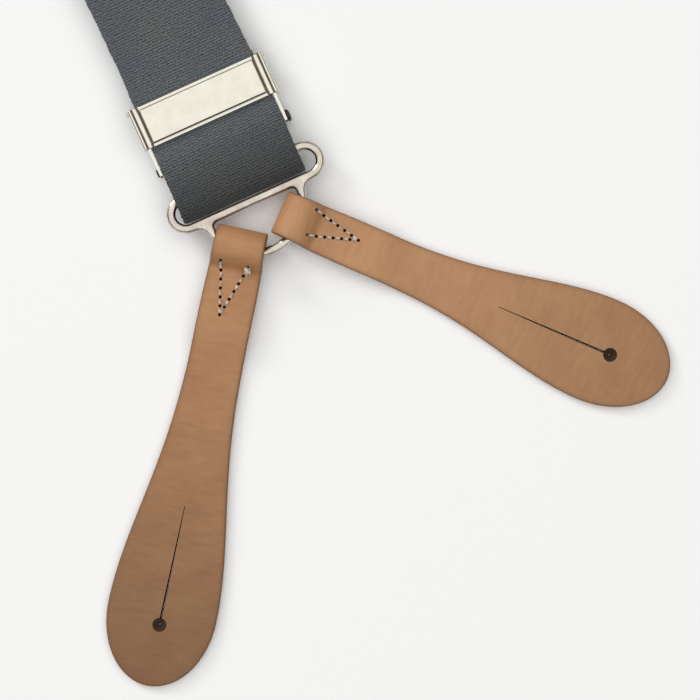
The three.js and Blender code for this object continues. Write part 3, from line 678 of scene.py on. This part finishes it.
def add_yoke():
    for node in ("yoke_backing", "yoke_front"):
        leather = soften_cad(node, f"{node}_leather", 0.5, 3)
        finish_piece(leather, "straps", "leather", YOKE_LEATHER, node)
    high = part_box("yoke_stitching")[1]
    middle = Matrix.Translation((0, YOKE_ORIGIN, 0))
    line = yoke_seam(SEAM_INSET)
    closed = np.vstack([line, line[:1]])
    level = high[2] / MM - 0.15
    holes = seam_points(np.column_stack([closed, np.full(len(closed), level)]), 3.0)
    seam = add_seam("yoke_stitches", [holes], middle, PALE_THREAD, 0.34, 0.1)
    finish_piece(seam, "straps", "tab_thread", PALE_THREAD, "yoke_stitching")


# ---- Cast ring -------------------------------------------------------------------------------

def dress_ring(node):
    """The casting keeps its shape; tumbling has rounded its edges and filled its corners a little."""
    obj = frame["nodes"][node]
    cover(obj, CAST_NICKEL)
    even_skin = obj.modifiers.new("even_skin", "REMESH")
    even_skin.mode = "VOXEL"
    even_skin.voxel_size = 0.26 * MM
    even_skin.use_smooth_shade = True
    tumbled = obj.modifiers.new("tumbled", "SMOOTH")
    tumbled.iterations = 8
    tumbled.factor = 0.5


# ---- Leather tabs ----------------------------------------------------------------------------

def tab_line(tab, fold):
    """The leather's middle line: rear leg, fold round the wire, down onto the leg, then the blade."""
    stack = LEATHER * 1.5 + 0.25
    middle = fold - LEATHER / 2
    start = 2 * fold + LEATHER / 2
    line = np.concatenate([
        [[28.5, LEATHER / 2]],
        arc((fold, fold), middle, -90, -340, 40),
        [[start - LEATHER / 2, stack + LEATHER / 3], [start, stack], [29, stack]],
        ease([29, stack], [41, LEATHER / 2]),
        [[tab["length"] - HEAD_ROUND, LEATHER / 2]],
    ])
    round_steps = np.radians(np.linspace(4, 89, 26))
    head_along = tab["length"] - HEAD_ROUND * (1 - np.sin(round_steps))
    head = np.column_stack([head_along, np.full(26, LEATHER / 2)])
    return np.concatenate([even(line, 0.9, 3), head])


def tab_half_width(tab, along):
    """Half the width at each distance from the fold."""
    widest = tab["length"] - HEAD_ROUND
    neck = np.interp(along, [0, 4, 12, 20], [tab["loop"], tab["loop"], tab["neck"] - 0.4, tab["neck"]])
    part = np.clip((along - 30) / (widest - 30), 0, 1)
    swell = np.sin(np.pi / 2 * part ** 1.35) ** 2
    width = neck + (tab["head"] - neck) * swell
    past = np.clip((along - widest) / HEAD_ROUND, 0, 1)
    return width / 2 * np.sqrt(1 - past ** 2)


def tab_skin(tab, fold):
    """Rings of points round the leather's section, its flat places, and how near each is to an edge."""
    line = tab_line(tab, fold)
    normal = normals_of(line)
    along = lengths_along(line)
    front = np.argmin(line[:, 0])
    half = tab_half_width(tab, line[:, 0])
    half[:front] = tab["loop"] / 2 - 0.25 + 0.25 * np.linspace(0, 1, front) ** 4
    inset = np.array([0, 0.12, 0.3, 0.55, 0.9, 1.5, 2.4, 3.6])
    widest = tab["length"] - HEAD_ROUND
    edge_angles = np.radians(np.linspace(0, 90, 200))
    edge_across = tab["head"] / 2 * np.cos(edge_angles)
    edge_line = np.column_stack([edge_across, widest + HEAD_ROUND * np.sin(edge_angles)])
    round_edge = 0.6
    rows, flat, rims = [], [], []
    for i, (y, z) in enumerate(line):
        steps = np.minimum(inset, half[i] * inset / 4.6)
        side = half[i] - steps
        middle = np.linspace(side[-1], -side[-1], 9)[1:-1]
        across = np.concatenate([side, middle, -side[::-1]])
        near = half[i] - np.abs(across)
        if y > widest and i > front:
            gaps = np.hypot(np.abs(across)[:, None] - edge_line[:, 0], y - edge_line[:, 1])
            near = np.minimum(near, gaps.min(1))
        if i < front:
            near = np.minimum(near, along[i])
        dip = round_edge - np.minimum(near, round_edge)
        up = LEATHER / 2 - round_edge + np.sqrt(round_edge ** 2 - dip ** 2)
        ring = np.concatenate([np.column_stack([across, up]), np.column_stack([across, -up])[::-1]])
        out = ring[:, 1]
        rows.append(np.column_stack([ring[:, 0], y + normal[i, 0] * out, z + normal[i, 1] * out]))
        flat.append(np.column_stack([ring[:, 0] + 40, np.full(len(ring), along[i])]))
        rim = np.exp(-near / 0.5)
        rims.append(np.concatenate([rim, rim[::-1]]))
    return rows, np.concatenate(flat), np.concatenate(rims)


def bar_mesh(points, low_radius, radius, sides=12):
    """A straight upright round cutter through two points, narrower at its lower end."""
    angles = np.linspace(0, 2 * math.pi, sides, endpoint=False)
    ring = np.column_stack([np.cos(angles), np.sin(angles), np.zeros(sides)])
    return loft([low_radius * ring + points[0], radius * ring + points[1]])


def slit_mesh(start, end, narrow, wide, bottom, top):
    """A knife slit that opens a little towards the button hole."""
    outline = np.array([
        [-narrow / 2, start], [narrow / 2, start], [wide * 0.35, (start + end) / 2],
        [wide / 2, end], [-wide / 2, end], [-wide * 0.35, (start + end) / 2],
    ])
    low = np.column_stack([outline * [0.06, 1], np.full(len(outline), bottom)])
    high = np.column_stack([outline, np.full(len(outline), top)])
    return loft([low, high])


def surface_height(line, normal, along_y, first):
    """The height of the leather's upper face at a distance from the fold."""
    upper = line[first:] + normal[first:] * LEATHER / 2
    return float(np.interp(along_y, upper[:, 0], upper[:, 1]))


def v_holes(tab, fold):
    """The needle holes of the two legs of the V, on the leather's upper face."""
    line = tab_line(tab, fold)
    normal = normals_of(line)
    first = int(np.argmax(line[:, 1]))
    legs = []
    left, right, point = tab["v"]
    for top in (left, right):
        flat = seam_points([[*top, 0], [*point, 0]], 2.55)
        flat[:, 2] = [surface_height(line, normal, y, first) for y in flat[:, 1]]
        legs.append(flat)
    return legs


def cut_with(obj, parts, matrix):
    verts, faces = join_parts(parts)
    cutter = make_object(obj.name + "_cutter", verts, faces, matrix)
    # the cut walls take this near-black brown: darker cut fibres with painted shade
    cutter.data.materials.append(CUT_CORE_AND_SHADE)
    face_outwards(cutter)
    cut = obj.modifiers.new("cut", "BOOLEAN")
    cut.operation = "DIFFERENCE"
    cut.solver = "EXACT"
    cut.material_mode = "TRANSFER"
    cut.object = cutter
    bpy.context.view_layer.update()
    apply_modifiers(obj)
    bpy.data.objects.remove(cutter)


def add_tab(name, tab, slack_thread=False):
    hide = DARK_LEATHER if tab is LONG_TAB else LEATHER_GRAIN
    place, fold = tab_frame(name)
    rows, flat, rims = tab_skin(tab, fold)
    verts, faces = loft(rows)
    obj = make_object(f"{name}_leather_tab", verts, faces, place)
    obj.data.materials.append(hide)
    set_uv(obj, flat)
    set_share(obj, "rim", rims)
    face_outwards(obj)
    hole = tab["length"] - HOLE_FROM_TIP
    legs = v_holes(tab, fold)
    holes = np.concatenate([legs[0], legs[1][:-1]])
    cuts = [bar_mesh([h - [0, 0, 1.1], h + [0, 0, 1.0]], 0.42, 0.56, 10) for h in holes]
    # hole and slit narrow to almost nothing at the underside, and their cut walls take a near-black brown,
    # partly the leather's darker cut fibres and partly painted shade, so they read dark from above
    low, high = np.array([0, hole, -0.03]), np.array([0, hole, LEATHER + 0.4])
    round_hole = bar_mesh([low, high], HOLE_RADIUS * 0.04, HOLE_RADIUS * 1.16, 40)
    slit = slit_mesh(hole - SLIT_LENGTH, hole - HOLE_RADIUS + 0.3, 0.22, 0.8, -0.4, LEATHER + 0.4)
    cut_with(obj, [*cuts, round_hole], place)
    cut_with(obj, [slit], place)
    obj.data.polygons.foreach_set("use_smooth", [True] * len(obj.data.polygons))
    obj.data.set_sharp_from_angle(angle=math.radians(38))
    finish_piece(obj, f"{name}_tab", "leather", hide, f"{name}_tab")

    parts = [s for leg in legs for s in stitch_row(leg, 0.36, 0.2)]
    if slack_thread:
        parts += loose_end(legs[0][0])
    verts, faces = join_parts(parts)
    thread = make_object(f"{name}_v_stitches", verts, faces, place)
    face_outwards(thread)
    finish_piece(thread, f"{name}_tab", "tab_thread", PALE_THREAD, f"{name}_tab_thread")


def loose_end(place):
    """The thread's tail where the seam was begun twice over: three short strands side by side."""
    strands = []
    for k, (shift, reach) in enumerate([(-0.45, 3.4), (0.1, 4.0), (0.6, 2.8)]):
        start = place + [shift, -1.0 + 0.2 * k, 0.25]
        end = place + [shift - 0.5 + 0.25 * k, -1.0 + reach, 0.3]
        strands.append(stitch(start, end, 0.3, 0.28, sink=0.35))
    return strands


# ---- Slide adjuster --------------------------------------------------------------------------

FLUTES = (PANEL_WIDTH / 2 + 0.35, PANEL_WIDTH / 2 + 2.0)


def plate_height(x, y):
    """The pressed relief of the plate: a raised panel, two flutes at each end, and thin lips."""
    half_depth = PLATE_DEPTH / 2
    panel = soft_step(PANEL_WIDTH / 2 - np.abs(x), 0.15, 0.5)
    panel = panel * soft_step(PANEL_DEPTH / 2 - np.abs(y), 0.15, 0.45)
    crown = 0.06 * (1 - (y / half_depth) ** 2)
    height = (0.62 + crown) * panel
    end_zone = 1 - soft_step(PANEL_WIDTH / 2 - np.abs(x), -0.35, 0.3)
    groove = 0
    for place in FLUTES:
        groove = groove + np.exp(-(((np.abs(x) - place) / 0.24) ** 2))
    ridge = 0.34 * end_zone
    return height + ridge - 0.5 * np.clip(groove, 0, 1)


def plate_shade(x, y):
    """How much painted shade and grime darken the flutes, and how much painted shadow darkens the foot of
    the raised panel, darkest along its lower edge.
    """
    shade = 0
    for place, width in zip(FLUTES, (0.2, 0.22)):
        shade = shade + 0.85 * np.exp(-(((np.abs(x) - place) / width) ** 2))
    foot = (np.abs(x) < PANEL_WIDTH / 2 + 0.2) * 1.0
    shade = shade + foot * 0.9 * np.exp(-(((y + PANEL_DEPTH / 2 + 0.1) / 0.2) ** 2))
    shade = shade + foot * 0.4 * np.exp(-(((y - PANEL_DEPTH / 2 - 0.1) / 0.14) ** 2))
    return np.clip(shade, 0, 1)


def add_plate(side):
    """Pressed from one sheet: its ends turn down past the strap's edges."""
    wall_out = STRAP_WIDTH / 2 + GAP + LEVER_SHEET + GAP + PLATE_SHEET
    bend = 0.9
    drop = 3.1
    rolled = 0.28  # radius of the plate's long edges
    flat_half = wall_out - bend
    turn = math.pi / 2 * bend
    dense = [np.linspace(PANEL_WIDTH / 2 - 0.9, flat_half, 34), np.linspace(0, PANEL_WIDTH / 2 - 0.95, 14)]
    inner = np.unique(np.concatenate(dense))
    outer = np.concatenate([np.linspace(flat_half, flat_half + turn, 9)[1:], [flat_half + turn + drop]])
    half_line = np.concatenate([inner, outer])
    places = np.concatenate([-half_line[:0:-1], half_line])
    half_depth = PLATE_DEPTH / 2
    fine = np.linspace(half_depth - 1.35, half_depth, 12)
    depth = np.unique(np.concatenate([-fine, [0.0, -2.0, 2.0, -4.0, 4.0], fine]))
    top, under, shades = [], [], []
    for t in places:
        sign = 1 if t >= 0 else -1
        past = max(abs(t) - flat_half, 0)
        angle = min(past / bend, math.pi / 2)
        fall = max(past - turn, 0)
        x = min(abs(t), flat_half) + bend * math.sin(angle)
        z = -bend * (1 - math.cos(angle)) - fall
        normal = np.array([sign * math.sin(angle), math.cos(angle)])
        relief = plate_height(np.full(len(depth), abs(t)), depth) * math.cos(angle) ** 2
        over_edge = np.clip(np.abs(depth) - half_depth + rolled, 0, rolled) / rolled
        roll = rolled * (1 - np.sqrt(np.clip(1 - over_edge ** 2, 0, 1)))
        up = relief - roll
        base_x, base_z = sign * x, z
        top.append(np.column_stack([base_x + normal[0] * up, depth, base_z + normal[1] * up]))
        low = -PLATE_SHEET + relief * 0.8 + roll * 0.6
        under.append(np.column_stack([base_x + normal[0] * low, depth, base_z + normal[1] * low]))
        shades += [plate_shade(np.full(len(depth), t), depth), np.zeros(len(depth))]
    rings = [np.concatenate([a, b[::-1]]) for a, b in zip(top, under)]
    verts, faces = loft(rings)
    middle = PLATE_START + PLATE_DEPTH / 2
    place = FRAMES[side] @ Matrix.Translation((0, middle * MM, (PLATE_UNDER + PLATE_SHEET) * MM))
    obj = make_object(f"{side}_adjuster_front", verts, faces, place)
    # the rim share here carries the painted shade and grime of the flutes and the painted shadow under the
    # panel
    set_share(obj, "rim", np.concatenate(shades))
    face_outwards(obj)
    obj.data.set_sharp_from_angle(angle=math.radians(50))
    body = f"{side}_adjuster_plate"
    finish_piece(obj, body, "pressed_nickel", PRESSED_NICKEL, body)


def dress_cad(node, material, edge):
    """A CAD piece of the right shape keeps it, with its edges eased and its own finish."""
    obj = frame["nodes"][node]
    cover(obj, material)
    ease_edges = obj.modifiers.new("eased_edges", "BEVEL")
    ease_edges.width = edge * MM
    ease_edges.segments = 2
    ease_edges.limit_method = "ANGLE"
    ease_edges.angle_limit = math.radians(35)
    ease_edges.harden_normals = True
    obj.data.polygons.foreach_set("use_smooth", [True] * len(obj.data.polygons))


def add_crossbar(side):
    """A black pin with one rounded head and one end riveted nearly flush."""
    half = 1 if side == "right" else -1
    profile = [(-20.75, 0.1), (-20.7, 1.0), (-20.45, 1.25), (-20.3, 1.25), (-20.3, 1.1), (20.25, 1.1),
               (20.25, 1.6), (20.4, 1.85), (20.9, 1.8), (21.2, 1.45), (21.35, 0.9), (21.4, 0.1)]
    angles = np.linspace(0, 2 * math.pi, 28, endpoint=False)
    rings = []
    for x, radius in profile:
        along = CROSSBAR + radius * np.cos(angles)
        height = CROSSBAR_HEIGHT + radius * np.sin(angles)
        rings.append(np.column_stack([np.full(28, half * x), along, height]))
    verts, faces = loft(rings)
    obj = make_object(f"{side}_crossbar_pin", verts, faces, FRAMES[side])
    face_outwards(obj)
    obj.data.set_sharp_from_angle(angle=math.radians(40))
    finish_piece(obj, f"{side}_adjuster", "black_bar", BLACK_ENAMEL, f"{side}_adjuster_crossbar")


def add_adjuster(side):
    add_plate(side)
    dress_cad(f"{side}_adjuster_lever", PRESSED_NICKEL, 0.12)
    add_crossbar(side)
    for word in ("a", "b"):
        dress_cad(f"{side}_adjuster_rivet_{word}", PRESSED_NICKEL, 0.08)


# ---- Build -----------------------------------------------------------------------------------

for end in ("right", "left"):
    add_front_strap(end)
    add_adjuster(end)
    dress_ring(f"{end}_ring")
    add_tab(f"{end}_inner", LONG_TAB, slack_thread=end == "right")
    add_tab(f"{end}_outer", SHORT_TAB)
dress_ring("back_ring")
add_tab("back_left", SHORT_TAB)
add_tab("back_right", SHORT_TAB)
add_back_strap()
add_yoke()


# ---- Stage, light and camera -----------------------------------------------------------------

def add_floor():
    size = 6.0
    corners = [(-size, -size, 0), (size, -size, 0), (size, size, 0), (-size, size, 0)]
    obj = make_object("floor", corners, [(0, 1, 2, 3)], smooth=False)
    made = new_material("pale_paper", Roughness=0.9, Base_Color=linear("#fcfcfb"))[0]
    obj.data.materials.append(made)
    obj.location.z = -0.00005


def add_light(name, place, aim, size, power):
    light = bpy.data.lights.new(name, "AREA")
    light.shape = "SQUARE"
    light.size = size
    light.energy = power
    obj = bpy.data.objects.new(name, light)
    obj.location = place
    obj.rotation_euler = (Vector(aim) - Vector(place)).to_track_quat("-Z", "Y").to_euler()
    bpy.context.scene.collection.objects.link(obj)


def add_camera():
    """Straight above one front end, looking down on its ring, adjuster and tabs."""
    ring = Vector(JOINTS["right_ring_tilt"]["pos_m"])
    aim = Vector((ring.x, ring.y, 0)) + Vector((31.8, -50.7, 0)) * MM
    distance = 0.60
    field = 0.2029
    camera = bpy.data.cameras.new("camera")
    camera.sensor_width = 36
    camera.lens = 36 * distance / field
    camera.clip_start = 0.01
    obj = bpy.data.objects.new("camera", camera)
    obj.location = aim + Vector((0, 0, distance))
    bpy.context.scene.collection.objects.link(obj)
    bpy.context.scene.camera = obj


def add_surroundings():
    world = bpy.data.worlds.new("studio")
    bpy.context.scene.world = world
    world.use_nodes = True
    world.node_tree.nodes["Background"].inputs["Color"].default_value = linear("#e9e7e4")
    world.node_tree.nodes["Background"].inputs["Strength"].default_value = 0.1
    bpy.context.scene.view_settings.view_transform = "Standard"


add_floor()
add_surroundings()
add_light("overhead_softbox", (0.1, -0.1, 2.6), (0.1, -0.1, 0), 7.0, 165)
add_light("window_side", (-2.4, 1.9, 1.7), (0.2, -0.2, 0), 1.2, 45)
add_camera()
